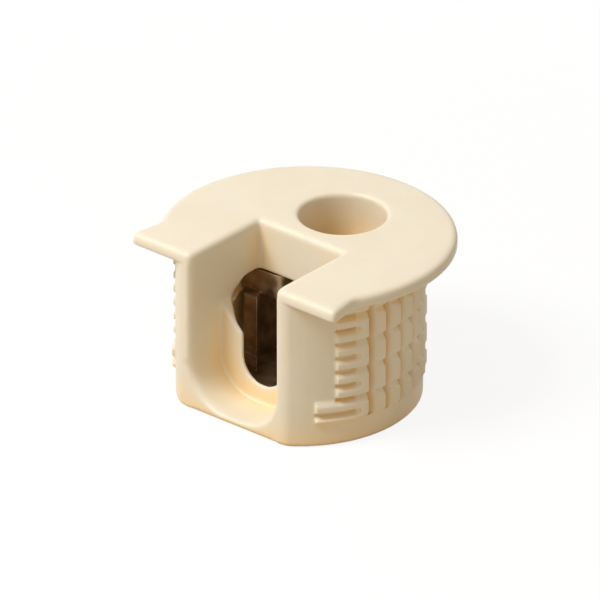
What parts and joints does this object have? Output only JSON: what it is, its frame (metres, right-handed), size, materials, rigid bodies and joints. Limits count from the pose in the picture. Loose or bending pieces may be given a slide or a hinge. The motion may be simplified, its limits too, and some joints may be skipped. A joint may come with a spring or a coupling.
{
  "type": "cam connector housing",
  "caption": "Flanged plastic housing that presses into a round board hole and holds a turning metal cam, which grips the head of a connecting bolt.",
  "frame": {"origin": "on the axis of the round body that enters the board's hole, at the body's bottom face", "axes": "+Z along the body's axis towards the flange, -Y is the front where the connecting bolt comes in, +X to the right seen from the front"},
  "size_m": [0.0238, 0.0211, 0.0138],
  "materials": {
    "housing": "satin ivory moulded plastic",
    "cam": "dark bronzed die casting"
  },
  "bodies": {
    "housing": {"housing": "housing"},
    "cam": {"cam": "cam"}
  },
  "joints": [
    {"name": "cam_turn", "type": "hinge", "parent": "housing", "child": "cam", "pos_m": [0, 0.00175, 0.005], "axis": [0, 0, -1], "range_deg": [0, 95]}
  ]
}
